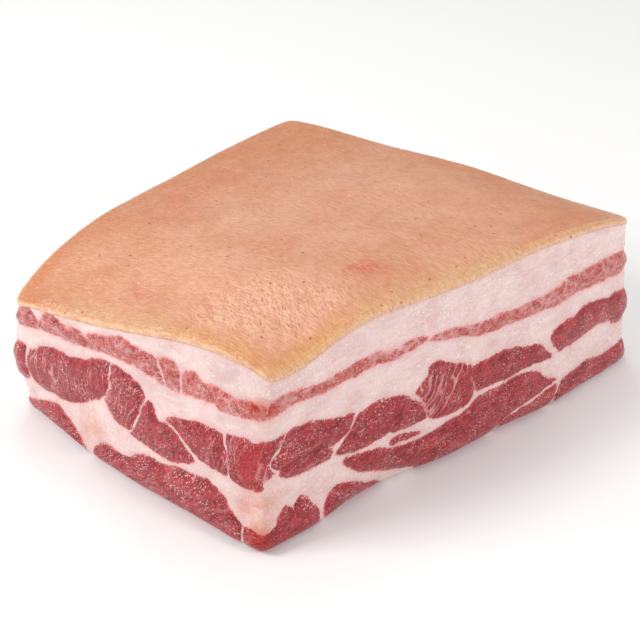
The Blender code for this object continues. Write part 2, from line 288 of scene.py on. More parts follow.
def value_noise(places, size, seed):
    """Smooth noise from -1 to 1 with features of the given size."""
    scaled = places / size
    cell = np.floor(scaled)
    t = scaled - cell
    t = t * t * (3 - 2 * t)
    total = np.zeros(len(places))
    for corner in np.ndindex(2, 2, 2):
        step = np.array(corner)
        weight = np.prod(np.where(step, t, 1 - t), axis=1)
        total += weight * lattice_value(cell + step, seed)
    return total


def waves(places, layers, seed):
    """Sum of noises, given as (size, depth) pairs."""
    return sum(
        depth * value_noise(places, size, seed + 17 * i) for i, (size, depth) in enumerate(layers)
    )


def smoothstep(low, high, x):
    t = np.clip((x - low) / (high - low), 0, 1)
    return t * t * (3 - 2 * t)


# ----- The slab's shape, read from the frame -----


def frame_tree(frame):
    """All CAD solids in one ray tree, with the node that each of its faces belongs to."""
    points, faces, owner = [], [], []
    for name, solid in sorted(frame["nodes"].items()):
        start = len(points)
        points += [vertex.co[:] for vertex in solid.data.vertices]
        for face in solid.data.polygons:
            faces.append([start + i for i in face.vertices])
            owner.append(name)
    return BVHTree.FromPolygons(points, faces), owner


def ring_blur(values, width):
    """Gaussian blur of a closed ring of values along the first axis; the width is in samples."""
    reach = int(3 * width) + 1
    steps = np.arange(-reach, reach + 1)
    weights = np.exp(-0.5 * (steps / width) ** 2)
    return sum(w * np.roll(values, k, axis=0) for w, k in zip(weights, steps)) / weights.sum()


class Slab:
    """The frame's outline at any height, and the height of its skin at any plan place, in mm."""

    def __init__(self, frame):
        self.tree, self.owner = frame_tree(frame)
        self.top = max(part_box(name)[1].z for name in frame["nodes"]) / MM
        self.angle = np.linspace(-np.pi, np.pi, ANGLES, endpoint=False)
        self.radius_under_rim = self._rim()
        self.corner_angle = self._corners(self.radius_under_rim)
        self._read_skin()
        self._read_sides()

    def hit(self, angle, height):
        """Distance from the axis to the side in one direction, and the node found there."""
        out = Vector((math.cos(angle), math.sin(angle), 0))
        start = out * RAY_START + Vector((0, 0, height * MM))
        place, _, face, _ = self.tree.ray_cast(start, -out)
        if place is None:
            return 0.0, None
        return math.hypot(place.x, place.y) / MM, self.owner[face]

    def _outline(self, heights):
        """Outermost distance near each height, so that the gaps between solids don't count."""
        return np.array([
            max(self.hit(angle, height + lift)[0] for lift in GAP_LIFTS)
            for angle, height in zip(self.angle, heights)
        ])

    def _rim(self):
        """Outermost distance just under the skin's edge, found in two steps from inside."""
        radius = self._outline(np.full(ANGLES, self.top / 2))
        for inside, below in RIM_STEPS:
            x, y = radius * inside * np.cos(self.angle), radius * inside * np.sin(self.angle)
            tops = np.array([self._top_at(a, b) for a, b in zip(x, y)])
            radius = self._outline(tops - below)
        return radius

    def _corners(self, radius):
        """Directions of the four corners, counterclockwise from the front left one."""
        found = []
        for start in (-np.pi, -np.pi / 2, 0, np.pi / 2):
            inside = (self.angle >= start) & (self.angle < start + np.pi / 2)
            found.append(self.angle[np.argmax(np.where(inside, radius, 0))])
        return found

    def _soften(self, radius):
        """The outline without the frame's facets, but with its corners."""
        fine, broad = ring_blur(radius, FINE_BLUR), ring_blur(radius, BROAD_BLUR)
        keep_fine = np.zeros(len(self.angle))
        for corner in self.corner_angle:
            away = np.abs(np.angle(np.exp(1j * (self.angle - corner))))
            keep_fine = np.maximum(keep_fine, np.exp(-((away / CORNER_WIDTH) ** 4)))
        keep_fine = keep_fine.reshape((-1,) + (1,) * (radius.ndim - 1))
        return keep_fine * fine + (1 - keep_fine) * broad

    def _read_skin(self):
        """Height of the skin on a plan grid, carried on straight past its edge."""
        across = np.arange(-SKIN_REACH, SKIN_REACH + SKIN_STEP, SKIN_STEP)
        height = np.array([[self._height_at(x, y) for y in across] for x in across])
        for _ in range(SKIN_SMOOTHING):
            padded = np.pad(height, 1, mode="edge")
            around = padded[:-2, 1:-1] + padded[2:, 1:-1] + padded[1:-1, :-2] + padded[1:-1, 2:]
            height = (2 * height + around) / 6
        self.skin = height

    def _height_at(self, x, y):
        """Height of the skin at a place; past its rounded edge it follows the slope inside."""
        out = math.hypot(x, y)
        rim = float(np.interp(math.atan2(y, x), self.angle, self.radius_under_rim))
        limit = rim - SKIN_EDGE
        if out <= limit:
            return self._top_at(x, y)
        near, inner = limit / out, (limit - SLOPE_RUN) / out
        edge = self._top_at(x * near, y * near)
        slope = (edge - self._top_at(x * inner, y * inner)) / SLOPE_RUN
        return edge + slope * min(out - limit, SLOPE_RUN)

    def _top_at(self, x, y):
        above = Vector((x * MM, y * MM, RAY_TOP))
        return self.tree.ray_cast(above, Vector((0, 0, -1)))[0].z / MM

    def skin_height(self, x, y):
        """Height of the skin at plan places."""
        size = len(self.skin) - 1
        i = np.clip((x + SKIN_REACH) / SKIN_STEP, 0, size - 1e-6)
        j = np.clip((y + SKIN_REACH) / SKIN_STEP, 0, size - 1e-6)
        a, b = i.astype(int), j.astype(int)
        s, t = i - a, j - b
        near = self.skin[a, b] * (1 - t) + self.skin[a, b + 1] * t
        far = self.skin[a + 1, b] * (1 - t) + self.skin[a + 1, b + 1] * t
        return near * (1 - s) + far * s

    def _read_sides(self):
        """The outline at even shares of the local height, from the base to the skin's edge."""
        rim = self._soften(self.radius_under_rim)
        edge = self.skin_height(rim * np.cos(self.angle), rim * np.sin(self.angle))
        self.height = ring_blur(edge, EDGE_BLUR)
        rows = [
            self._outline(CLEAR_LOW + share * (self.height - CLEAR_LOW - CLEAR_HIGH))
            for share in np.linspace(0, 1, LEVELS)
        ]
        self.radius = self._soften(np.array(rows).T)

    def edge_height(self, angle):
        """Height of the skin's edge in some directions."""
        return np.interp(angle, self.angle, self.height, period=2 * np.pi)

    def side_point(self, angle, height):
        """Plan place of the side in some directions and heights, before any rounding of edges."""
        share = (height - CLEAR_LOW) / (self.edge_height(angle) - CLEAR_LOW - CLEAR_HIGH)
        k = np.clip(share, 0, 1) * (LEVELS - 1)
        k0 = np.clip(k.astype(int), 0, LEVELS - 2)
        turn = (angle + np.pi) / (2 * np.pi) * ANGLES
        a0 = np.floor(turn).astype(int)
        t = turn - a0
        a0, a1 = a0 % ANGLES, (a0 + 1) % ANGLES
        lower = self.radius[a0, k0] * (1 - t) + self.radius[a1, k0] * t
        upper = self.radius[a0, k0 + 1] * (1 - t) + self.radius[a1, k0 + 1] * t
        radius = lower + (upper - lower) * (k - k0)
        slope = (upper - lower) * (LEVELS - 1)
        radius = radius + slope * (share - np.clip(share, 0, 1))
        return radius * np.cos(angle), radius * np.sin(angle)


class Ring:
    """Evenly spaced directions round the slab, so many along the front and along a side."""

    def __init__(self, slab, cells):
        self.cells = cells
        counts = (*cells, *cells)
        directions, lengths = [], []
        for k, count in enumerate(counts):
            start, end = slab.corner_angle[k], slab.corner_angle[(k + 1) % 4]
            turn = np.linspace(start, end if end > start else end + 2 * np.pi, RING_SAMPLES)
            x, y = slab.side_point(turn, np.full(RING_SAMPLES, RING_HEIGHT))
            run = np.concatenate([[0], np.cumsum(np.hypot(np.diff(x), np.diff(y)))])
            places = np.linspace(0, run[-1], count, endpoint=False)
            directions.append(np.interp(places, run, turn))
            lengths.append(run[-1])
        self.angle = np.angle(np.exp(1j * np.concatenate(directions)))
        self.count = len(self.angle)
        lengths[0], lengths[3] = FRONT_LENGTH, LEFT_LENGTH
        self.length = sum(lengths)
        starts = CORNER_S + np.concatenate([[0], np.cumsum(lengths)[:3]])
        self.s = np.concatenate([
            start + length * (np.arange(count) / count)
            for start, length, count in zip(starts, lengths, counts)
        ])

    def grid_index(self, first, inner):
        """Vertex numbers of a grid whose rim is this ring, from first on, then inner on."""
        nu, nv = self.cells
        index = np.zeros((nu + 1, nv + 1), int)
        ring = first + np.arange(self.count)
        index[:nu, 0] = ring[:nu]
        index[nu, :nv] = ring[nu:nu + nv]
        index[nu:0:-1, nv] = ring[nu + nv:2 * nu + nv]
        index[0, nv:0:-1] = ring[2 * nu + nv:]
        index[1:nu, 1:nv] = inner + np.arange((nu - 1) * (nv - 1)).reshape(nu - 1, nv - 1)
        return index

    def filled(self, rim):
        """Plan places inside a rim of ring points: a Coons patch, without the rim itself."""
        nu, nv = self.cells
        front = np.concatenate([rim[:nu], rim[nu:nu + 1]])
        right = rim[nu:nu + nv + 1]
        back = rim[nu + nv:2 * nu + nv + 1][::-1]
        left = np.concatenate([rim[2 * nu + nv:], rim[:1]])[::-1]
        u = np.linspace(0, 1, nu + 1)[:, None, None]
        v = np.linspace(0, 1, nv + 1)[None, :, None]
        patch = (1 - v) * front[:, None] + v * back[:, None]
        patch = patch + (1 - u) * left[None] + u * right[None]
        patch = patch - (1 - u) * (1 - v) * front[0] - u * (1 - v) * front[-1]
        patch = patch - (1 - u) * v * back[0] - u * v * back[-1]
        return patch[1:-1, 1:-1].reshape(-1, rim.shape[1])


def wall_faces(count, rows):
    """Quads between rows of a closed ring, facing out when the rows go up counterclockwise."""
    i = np.arange(count)
    j = (i + 1) % count
    faces = [np.stack([r * count + i, r * count + j, (r + 1) * count + j, (r + 1) * count + i], 1)
             for r in range(rows - 1)]
    return np.concatenate(faces).tolist()


def grid_faces(index, up):
    faces = np.stack([index[:-1, :-1], index[1:, :-1], index[1:, 1:], index[:-1, 1:]], 2)
    faces = faces.reshape(-1, 4)
    return (faces if up else faces[:, ::-1]).tolist()


def web_cap(rim, first, start, height_at, up):
    """A coarse hidden cap: rings drawn in towards the middle, with half as many points each where
    that divides evenly. Returns the new points and the faces."""
    points, faces = [], []
    middle = rim.mean(0)
    size, number = len(rim), first + np.arange(len(rim))
    for scale in CAP_SCALES:
        step = 2 if size % 2 == 0 and size > CAP_LEAST else 1
        size //= step
        new = middle + (rim[::len(rim) // size] - middle) * scale
        names = start + len(points) + np.arange(len(new))
        points += np.column_stack([new[:, :2], height_at(new[:, 0], new[:, 1])]).tolist()
        for k in range(len(new)):
            a, c = number[k * step], number[(k + 1) * step % len(number)]
            p, q = names[k], names[(k + 1) % len(names)]
            if step == 2:
                b = number[k * step + 1]
                faces += [[a, b, p], [b, q, p], [b, c, q]]
            else:
                faces.append([a, c, q, p])
        number = names
    centre = start + len(points)
    points.append([middle[0], middle[1], float(height_at(middle[:1], middle[1:2])[0])])
    faces += [[number[k], number[(k + 1) % len(number)], centre] for k in range(len(number))]
    if not up:
        faces = [face[::-1] for face in faces]
    return np.array(points), faces


# ----- The tissue: where lean meat, fat and seams lie -----


def lean_spans(slab, ring, s_places):
    """Lowest and highest heights of each of the frame's lean layers, at places along the ring."""
    heights = np.arange(1.0, slab.top, SPAN_STEP)
    angles = np.interp(s_places, ring.s, np.unwrap(ring.angle))
    columns = [[slab.hit(angle, z)[1] for z in heights] for angle in angles]
    spans = {}
    for name in sorted(set(slab.owner)):
        if name.endswith("lean"):
            found = [[z for z, owner in zip(heights, column) if owner == name]
                     for column in columns]
            spans[name] = (np.array([min(span, default=0.0) for span in found]),
                           np.array([max(span, default=0.0) for span in found]))
    return spans


def tapered_outline(rng, s, floor, roof, over_base):
    """A muscle between two rows of heights along S, with slanted and tapered ends."""
    roof = roof + rng.uniform(-1.5, 0.8, len(s))
    middle = (floor + roof) / 2
    taper = np.array([rng.uniform(0.3, 0.8), 0.95, 1, 0.9, rng.uniform(0.3, 0.8)])
    roof = middle + (roof - middle) * taper
    floor = np.full(len(s), BELOW_BASE) if over_base else middle + (floor - middle) * taper
    slant = rng.uniform(-4, 4)
    tip = END_GAP + 0.4 * slant
    return [(s[0] - tip, middle[0]), *zip(s + slant, roof),
            (s[-1] + tip, middle[-1]), *zip(s[::-1] - slant, floor[::-1])]


def far_side_muscles(slab, ring):
    """Muscles for the back and right sides, along the frame's own lean layers."""
    rng = np.random.default_rng(SEED)
    first, last = FRONT_LENGTH + 12, ring.length - LEFT_LENGTH - 10
    s_places = np.arange(first - 8, last + 8, 4.0)
    muscles = []
    for name, (low, high) in lean_spans(slab, ring, s_places).items():
        tone = 0.25 if name.startswith("upper") else 0.85
        start = first
        while start < last:
            end = min(start + rng.uniform(*HIDDEN_LENGTH), last + 2)
            s = np.linspace(start + END_GAP, end - END_GAP, 5)
            floor, roof = np.interp(s, s_places, low), np.interp(s, s_places, high)
            outline = tapered_outline(rng, s, floor, roof, name.startswith("bottom"))
            own_tone = tone + rng.uniform(-0.1, 0.1)
            muscles.append((int(rng.integers(2)), rng.uniform(0, 80), own_tone, outline))
            start = end + rng.uniform(-3.5, 0.6)
    return muscles


def under_side_muscles():
    """Long muscles that lie side by side across the base, in plan x and y."""
    rng = np.random.default_rng(SEED + 1)
    muscles = []
    turn = math.radians(24)
    along = np.array([-math.sin(turn), math.cos(turn)])
    across = np.array([math.cos(turn), math.sin(turn)])
    offset, parity = -110.0, 0
    while offset < 110:
        width = rng.uniform(13, 24)
        start = -115 + rng.uniform(-10, 10)
        while start < 100:
            end = start + rng.uniform(50, 95)
            ends = [along * start + across * (offset + width / 2)]
            far = [along * end + across * (offset + width * rng.uniform(0.3, 0.7))]
            steps = np.linspace(start + 7, end - 7, 4)
            near_side = [along * t + across * (offset + rng.uniform(0, 1.6)) for t in steps]
            far_side = [along * t + across * (offset + width - rng.uniform(0, 1.6))
                        for t in steps[::-1]]
            outline = ends + near_side + far + far_side
            tone = rng.uniform(0.6, 0.9)
            muscles.append((parity, math.degrees(turn) + 90, tone, outline))
            start = end - 2
        parity = 1 - parity
        offset += width + rng.uniform(-0.2, 1.0)
    return muscles


def smooth_ring(points, parts=5):
    """A smooth closed curve through points."""
    p = np.asarray(points, float)
    before, after, next_after = np.roll(p, 1, 0), np.roll(p, -1, 0), np.roll(p, -2, 0)
    pieces = []
    for t in np.arange(parts) / parts:
        pieces.append(0.5 * (2 * p + (after - before) * t
                             + (2 * before - 5 * p + 4 * after - next_after) * t**2
                             + (3 * p - before - 3 * after + next_after) * t**3))
    return np.stack(pieces, 1).reshape(-1, 2)


def outline_distance(x, y, outline):
    """Signed distance to a smooth closed outline, negative inside."""
    ring = smooth_ring(outline)
    low, high = ring.min(0) - OUTLINE_REACH, ring.max(0) + OUTLINE_REACH
    near = np.flatnonzero((x > low[0]) & (x < high[0]) & (y > low[1]) & (y < high[1]))
    px, py = x[near], y[near]
    squared = np.full(len(near), OUTLINE_REACH**2)
    inside = np.zeros(len(near), bool)
    for (x0, y0), (x1, y1) in zip(ring, np.roll(ring, -1, 0)):
        dx, dy = x1 - x0, y1 - y0
        t = np.clip(((px - x0) * dx + (py - y0) * dy) / (dx * dx + dy * dy + 1e-12), 0, 1)
        squared = np.minimum(squared, (px - x0 - t * dx) ** 2 + (py - y0 - t * dy) ** 2)
        if y0 != y1:
            crosses = ((y0 > py) != (y1 > py)) & (px < x0 + (py - y0) / (y1 - y0) * dx)
            inside ^= crosses
    distance = np.full(len(x), OUTLINE_REACH)
    distance[near] = np.sqrt(squared) * np.where(inside, -1, 1)
    return distance


def near_start(s, length):
    """S measured back from the ring's start where that is nearer; the jump is at the back."""
    return np.where(s > length / 2 + BACK_JUMP, s - length, s)


def tissue(places, muscles, period=None):
    """Depth into lean meat, signed distance to a seam, tone and grain places of 2-D places."""
    lifted = np.column_stack([places, np.zeros(len(places))])
    x = places[:, 0] + waves(lifted, OUTLINE_WAVES, SEED + 3)
    y = places[:, 1] + waves(lifted, OUTLINE_WAVES, SEED + 5)
    best = np.full((2, len(x)), OUTLINE_REACH)
    nearest = np.full(len(x), OUTLINE_REACH)
    tone = np.full(len(x), 0.5)
    grain = np.zeros((len(x), 3))
    along = x if period is None else near_start(x, period)
    for number, (parity, angle, own_tone, outline) in enumerate(muscles):
        distance = outline_distance(x, y, outline)
        if period is not None:
            for turn in (-period, period):
                distance = np.minimum(distance, outline_distance(x + turn, y, outline))
        best[parity] = np.minimum(best[parity], distance)
        closer = distance < nearest
        nearest = np.where(closer, distance, nearest)
        tone = np.where(closer, own_tone, tone)
        turn = math.radians(angle)
        local = np.column_stack([
            along * math.cos(turn) + y * math.sin(turn),
            y * math.cos(turn) - along * math.sin(turn),
            np.full(len(x), 7.3 * number),
        ])
        grain = np.where(closer[:, None], local, grain)
    return -nearest, (best[1] - best[0]) / 2, tone, grain


# ----- Meshes -----


def new_piece(name, points, faces):
    mesh = bpy.data.meshes.new(name)
    mesh.from_pydata((np.asarray(points) * MM).tolist(), [], faces)
    mesh.shade_smooth()
    piece = bpy.data.objects.new(name, mesh)
    bpy.context.scene.collection.objects.link(piece)
    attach(piece, "root")
    return piece


def vectors(items, field):
    """One vector of each item, as the rows of an array."""
    values = np.empty(len(items) * 3, np.float32)
    items.foreach_get(field, values)
    return values.reshape(-1, 3)


def places_of(mesh):
    return vectors(mesh.vertices, "co").astype(float) / MM


def move_out(mesh, distance):
    """Moves each vertex along its normal by a distance in mm."""
    moved = places_of(mesh) + vectors(mesh.vertex_normals, "vector") * distance[:, None]
    mesh.vertices.foreach_set("co", (moved * MM).astype(np.float32).ravel())
    mesh.update()


def keep(mesh, name, values):
    """Stores a number or a vector for each vertex, for the material to read."""
    values = np.asarray(values, np.float32)
    kind, field = ("FLOAT", "value") if values.ndim == 1 else ("FLOAT_VECTOR", "vector")
    mesh.attributes.new(name, kind, "POINT").data.foreach_set(field, values.ravel())


def sharpen(mesh, first, count):
    """Marks the edges among a run of ring vertices as sharp, where a cap meets the side."""
    ends = np.empty(len(mesh.edges) * 2, np.int32)
    mesh.edges.foreach_get("vertices", ends)
    ends = ends.reshape(-1, 2)
    inside = ((ends >= first) & (ends < first + count)).all(1)
    mesh.attributes.new("sharp_edge", "BOOLEAN", "EDGE").data.foreach_set("value", inside)


def side_rows(slab, ring, heights, insets):
    """Points of the cut sides: a row for each array of heights, drawn in by its inset."""
    rows = []
    for height, inset in zip(heights, insets):
        x, y = slab.side_point(ring.angle, height)
        shrink = 1 - inset / np.hypot(x, y)
        rows.append(np.column_stack([x * shrink, y * shrink, height]))
    return rows


def flesh_rows(top):
    """Heights and insets of the flesh's rows: the base's rounded edge, then the upright side."""
    turns = np.linspace(0, math.pi / 2, BASE_ROWS + 1)[:-1]
    heights = [np.full(len(top), BASE_ROUND * (1 - math.cos(t))) for t in turns]
    insets = [BASE_ROUND * (1 - math.sin(t)) for t in turns]
    count = math.ceil((top - RIND_THICK - BASE_ROUND).max() / SIDE_STEP) + 1
    for t in np.linspace(0, 1, count):
        heights.append(BASE_ROUND * (1 - t) + (top - RIND_THICK) * t)
        insets.append(0.0)
    return heights, insets


def flesh_tissue(slab, ring, heights, rim, inner, hidden):
    """Tissue of the flesh's vertices: cut sides, base, and so many hidden ones under the skin."""
    s = np.tile(ring.s, len(heights) // ring.count)
    muscles = [*UPPER_STREAK, *MAIN_FRONT, *MAIN_LEFT, *BOTTOM_LEAN]
    muscles += far_side_muscles(slab, ring)
    on_sides = tissue(np.column_stack([s, heights + FEATURE_DROP]), muscles, ring.length)
    edge, nearest = edge_distance(inner, rim)
    rolled = np.column_stack([ring.s[nearest], -edge - BASE_EDGE_DROP])
    by_edge = tissue(rolled, muscles, ring.length)
    in_plan = tissue(inner, under_side_muscles())
    blend = smoothstep(3, 9, edge)
    merged = []
    for side, near, far in zip(on_sides, by_edge, in_plan):
        share = blend if near.ndim == 1 else blend[:, None]
        unseen = np.zeros((hidden,) + near.shape[1:])
        merged.append(np.concatenate([side, near * (1 - share) + far * share, unseen]))
    return merged


def make_flesh(slab):
    """All fat and lean meat under the skin, with the cut sides and the base."""
    ring = Ring(slab, FLESH_GRID)
    top = slab.edge_height(ring.angle)
    rows = side_rows(slab, ring, *flesh_rows(top))
    wall = np.concatenate(rows)
    rim = rows[0][:, :2]
    inner = ring.filled(rim)
    base = np.column_stack([inner, np.zeros(len(inner))])
    last = len(wall) - ring.count

    def under_skin(x, y):
        return slab.skin_height(x, y) - RIND_THICK - CAP_GAP

    cap, cap_faces = web_cap(rows[-1], last, len(wall) + len(base), under_skin, up=True)
    faces = wall_faces(ring.count, len(rows))
    faces += grid_faces(ring.grid_index(0, len(wall)), up=False) + cap_faces
    flesh = new_piece("flesh", np.concatenate([wall, base, cap]), faces)
    mesh = flesh.data

    # heights along the side as if its rounded edge at the base were rolled flat
    row = np.repeat(np.arange(len(rows)), ring.count)
    rolled = BASE_ROUND - (BASE_ROWS - row) * BASE_ROUND * BASE_ROLL
    heights = np.where(row < BASE_ROWS, rolled, wall[:, 2])
    lean, seam, tone, grain = flesh_tissue(slab, ring, heights, rim, inner, len(cap))

    def for_all(side_values, elsewhere=0.0):
        """Values of the cut sides' vertices, with one value for all others."""
        rest = len(mesh.vertices) - len(wall)
        return np.pad(side_values, (0, rest), constant_values=elsewhere)

    places = places_of(mesh)
    side_z = places[:len(wall), 2]
    below_skin = np.tile(top, len(rows)) - RIND_THICK - side_z
    fade = for_all(smoothstep(0, 2.5, below_skin) * smoothstep(0.2, 4, side_z))
    inside = smoothstep(0, 3.5, np.minimum(lean, np.abs(seam)))
    swell = LEAN_SWELL * inside - EDGE_DIP * smoothstep(1.2, 0, np.abs(lean))
    move_out(mesh, fade * (swell + waves(places, FLESH_WAVES, SEED + 21)))

    s = np.tile(ring.s, len(rows))
    keep(mesh, "lean", lean)
    keep(mesh, "seam", seam)
    keep(mesh, "tone", tone)
    keep(mesh, "grain", grain)
    keep(mesh, "under", for_all(below_skin, ELSEWHERE))
    keep(mesh, "calm", for_all(np.abs(s - ring.length / 2 - BACK_JUMP) < JUMP_WIDTH))
    for name, marks in (("stain", RED_STAINS), ("warm", WARM_STAINS)):
        keep(mesh, name, for_all(marks_at(near_start(s, ring.length), heights, marks)))
    sharpen(mesh, last, ring.count)
    return flesh


def edge_distance(places, rim):
    """Distance from plan places to the nearest point of a rim, and which point that is."""
    distance = np.empty(len(places))
    nearest = np.empty(len(places), int)
    for start in range(0, len(places), 4000):
        part = places[start:start + 4000]
        apart = np.hypot(part[:, None, 0] - rim[None, :, 0], part[:, None, 1] - rim[None, :, 1])
        nearest[start:start + 4000] = apart.argmin(1)
        distance[start:start + 4000] = apart.min(1)
    return distance, nearest


def marks_at(x, y, marks):
    """Sum of soft elliptical marks at some places."""
    total = np.zeros(len(x))
    for cx, cy, half_long, half_wide, turn, strength in marks:
        c, s = math.cos(math.radians(turn)), math.sin(math.radians(turn))
        along, across = (x - cx) * c + (y - cy) * s, (y - cy) * c - (x - cx) * s
        total += strength * np.exp(-((along / half_long) ** 2) - (across / half_wide) ** 2)
    return total


def corner_nearness(slab, x, y, reach):
    """1 at the front left corner of the skin, falling off over a distance."""
    cx, cy = slab.side_point(np.array(slab.corner_angle[:1]), np.array([50.0]))
    return np.exp(-(((x - cx) ** 2 + (y - cy) ** 2) / reach**2))


def rind_profile():
    """Rise and inset of the rows up the skin's cut edge and over its rounded rim."""
    flat = RIND_THICK - RIND_ROUND
    profile = [(0.0, 0.35), (0.12, 0.05), (0.5, 0.0), (flat, 0.0)]
    for t in np.linspace(0, math.pi / 2, 7)[1:]:
        profile.append((flat + RIND_ROUND * math.sin(t), RIND_ROUND * (1 - math.cos(t))))
    return np.array(profile)


def make_rind(slab):
    """The skin: a sheet over the whole slab, with its cut edge flush with the sides."""
    ring = Ring(slab, RIND_GRID)
    under = slab.edge_height(ring.angle) - RIND_THICK
    rises, insets = rind_profile().T
    rows = side_rows(slab, ring, [under + rise for rise in rises], insets - RIND_OVERHANG)
    wall = np.concatenate(rows)
    last = len(wall) - ring.count
    rim = rows[-1][:, :2]
    inner = ring.filled(rim)
    skin = np.column_stack([inner, slab.skin_height(inner[:, 0], inner[:, 1])])
    start = len(wall) + len(skin)

    def underside(x, y):
        return slab.skin_height(x, y) - RIND_THICK

    cap, cap_faces = web_cap(rows[0], 0, start, underside, up=False)
    faces = wall_faces(ring.count, len(rows))
    faces += grid_faces(ring.grid_index(last, len(wall)), up=True) + cap_faces
    rind = new_piece("rind", np.concatenate([wall, skin, cap]), faces)
    mesh = rind.data

    places = places_of(mesh)
    edge = np.zeros(len(places))
    edge[len(wall):start], nearest = edge_distance(inner, rim[::2])
    edge[start:] = ELSEWHERE
    s = np.concatenate([np.tile(ring.s, len(rows)), ring.s[::2][nearest], np.zeros(len(cap))])
    s = near_start(s, ring.length)
    near = corner_nearness(slab, places[:, 0], places[:, 1], CORNER_REACH)
    broad = waves(places, SKIN_WAVES, SEED + 31) * smoothstep(0, 5, edge)
    fine = waves(places, SKIN_GRAIN, SEED + 37)
    goose = waves(places, GOOSE_BUMPS, SEED + 41) * near
    outer = np.arange(len(places)) < start
    move_out(mesh, np.where(outer, broad + (fine + goose), 0))
    x, y = places[:, 0], places[:, 1]
    below = np.concatenate([np.repeat(RIND_THICK - rises, ring.count),
                            np.zeros(len(places) - len(wall))])
    front = np.exp(-np.maximum(y + 55, 0) / 22) * smoothstep(75, 0, x)
    keep(mesh, "edge", edge)
    keep(mesh, "below", below)
    keep(mesh, "blush", marks_at(x, y, BLUSH))
    keep(mesh, "corner", near)
    keep(mesh, "golden", np.maximum(front, smoothstep(-45, -72, x)))
    keep(mesh, "far", np.maximum(smoothstep(-20, 70, y), smoothstep(10, 95, x)))
    # the stretch of the left rim where glints are painted
    keep(mesh, "rim_glint_zone", smoothstep(-112, -92, s) * smoothstep(3, -4, s))
    return rind


# ----- Materials -----


def linear(colour):
    """Colour for a shader from ordinary 0 to 255 values."""
    shares = [value / 255 for value in colour]
    return [v / 12.92 if v < 0.04045 else ((v + 0.055) / 1.055) ** 2.4 for v in shares] + [1]


class Graph:
    """Short calls for building a material's nodes. Each returns an output socket.
    Colours of three values are ordinary 0 to 255 ones."""

    def __init__(self, name):
        self.material = bpy.data.materials.new(name)
        self.material.use_nodes = True
        self.nodes = self.material.node_tree.nodes
        self.links = self.material.node_tree.links
        self.shader = self.nodes["Principled BSDF"]
        self.object_place = self.add("ShaderNodeTexCoord").outputs["Object"]

    def add(self, kind, inputs=(), **settings):
        made = self.nodes.new(kind)
        for key, value in settings.items():
            setattr(made, key, value)
        for key, value in dict(inputs).items():
            self.set(made.inputs[key], value)
        return made

    def set(self, socket, value):
        if isinstance(value, bpy.types.NodeSocket):
            self.links.new(value, socket)
        else:
            socket.default_value = value

    def math(self, operation, *values):
        made = self.nodes.new("ShaderNodeMath")
        made.operation = operation
        for socket, value in zip(made.inputs, values):
            self.set(socket, value)
        return made.outputs[0]

    def times(self, first, *others):
        for other in others:
            first = self.math("MULTIPLY", first, other)
        return first

    def centred(self, noise):
        return self.math("SUBTRACT", noise, 0.5)

    def stored(self, name, output="Fac"):
        return self.add("ShaderNodeAttribute", attribute_name=name).outputs[output]

    def scaled(self, vector, scale):
        made = self.add("ShaderNodeVectorMath", operation="MULTIPLY")
        self.set(made.inputs[0], vector)
        made.inputs[1].default_value = scale
        return made.outputs[0]

    def noise(self, vector, scale, detail=2.0, roughness=0.5, distortion=0.0):
        return self.add("ShaderNodeTexNoise", {
            "Vector": vector, "Scale": scale, "Detail": detail, "Roughness": roughness,
            "Distortion": distortion,
        }).outputs["Fac"]

    def cells(self, vector, scale, feature="F1"):
        made = self.add("ShaderNodeTexVoronoi", {"Vector": vector, "Scale": scale},
                        feature=feature)
        return made.outputs["Distance"]

    def ramp(self, value, low, high, to_low=0.0, to_high=1.0, smooth=True):
        made = self.add("ShaderNodeMapRange", {
            "Value": value, "From Min": low, "From Max": high, "To Min": to_low,
            "To Max": to_high,
        }, interpolation_type="SMOOTHSTEP" if smooth else "LINEAR")
        return made.outputs["Result"]

    def mix(self, factor, a, b, blend="MIX"):
        made = self.add("ShaderNodeMix", data_type="RGBA", blend_type=blend)
        self.set(made.inputs["Factor"], factor)
        for name, colour in (("A", a), ("B", b)):
            socket = [s for s in made.inputs if s.name == name and s.type == "RGBA"][0]
            self.set(socket, linear(colour) if isinstance(colour, tuple) else colour)
        return [s for s in made.outputs if s.type == "RGBA"][0]

    def bump(self, height, distance, strength=1.0, normal=None):
        made = self.add("ShaderNodeBump", {
            "Height": height, "Distance": distance, "Strength": strength,
        })
        if normal is not None:
            self.set(made.inputs["Normal"], normal)
        return made.outputs["Normal"]

    def finish(self, colour, roughness, normal):
        """Plugs in what was worked out, and gives the material."""
        self.set(self.shader.inputs["Base Color"], colour)
        self.set(self.shader.inputs["Roughness"], roughness)
        self.set(self.shader.inputs["Normal"], normal)
        return self.material


